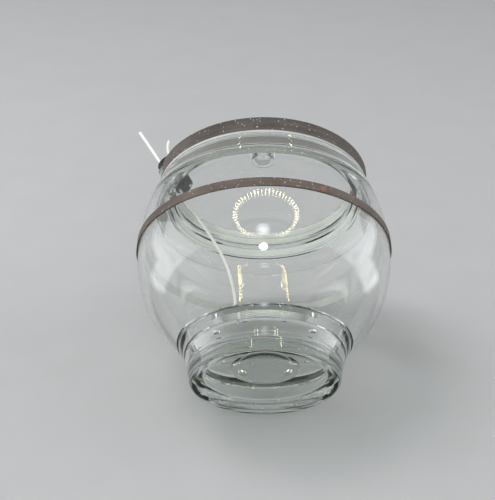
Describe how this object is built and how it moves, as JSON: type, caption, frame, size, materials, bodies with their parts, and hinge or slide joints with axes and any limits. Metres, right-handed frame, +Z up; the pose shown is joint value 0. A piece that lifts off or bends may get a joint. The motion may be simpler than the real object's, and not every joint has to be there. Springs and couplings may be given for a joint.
{
  "type": "glass desiccator",
  "caption": "Small footed round glass desiccator with a domed knob lid in a rubber sleeve, a rubber guard belt, a clear plate and a side stopper with two tubes.",
  "frame": {"origin": "middle of the flat ring the foot stands on, on the vessel axis", "axes": "+Z up along the vessel axis from foot to lid; +X away from the side stopper, whose dip tube runs in the plane Y = -7 mm; -Y is the front"},
  "size_m": [0.1229, 0.1216, 0.1365],
  "materials": {
    "clear_glass": "smooth pressed glass",
    "lid_glass": "smooth pressed glass",
    "plate_glass": "flat polished glass",
    "belt_rubber": "matt, dusty",
    "gasket_rubber": "matt, dusty",
    "black_rubber": "matt",
    "white_tube": "satin"
  },
  "bodies": {
    "vessel": {"vessel": "clear_glass", "guard_belt": "belt_rubber"},
    "plate": {"support_plate": "plate_glass"},
    "gasket": {"lid_gasket": "gasket_rubber"},
    "lid": {"lid": "lid_glass"},
    "stopper": {"side_stopper": "black_rubber", "dip_tube": "white_tube", "outlet_tube": "white_tube"}
  },
  "joints": [
    {"name": "lid_turn", "type": "hinge", "parent": "vessel", "child": "gasket", "pos_m": [0, 0, 0.103], "axis": [0, 0, 1], "continuous": true},
    {"name": "lid_lift", "type": "slide", "parent": "gasket", "child": "lid", "axis": [0, 0, 1], "range_m": [0, 0.095]},
    {"name": "stopper_pull", "type": "slide", "parent": "lid", "child": "stopper", "axis": [-0.5045, 0, 0.8634], "range_m": [0, 0.016]},
    {"name": "plate_lift", "type": "slide", "parent": "vessel", "child": "plate", "axis": [0, 0, 1], "range_m": [0, 0.012]}
  ]
}
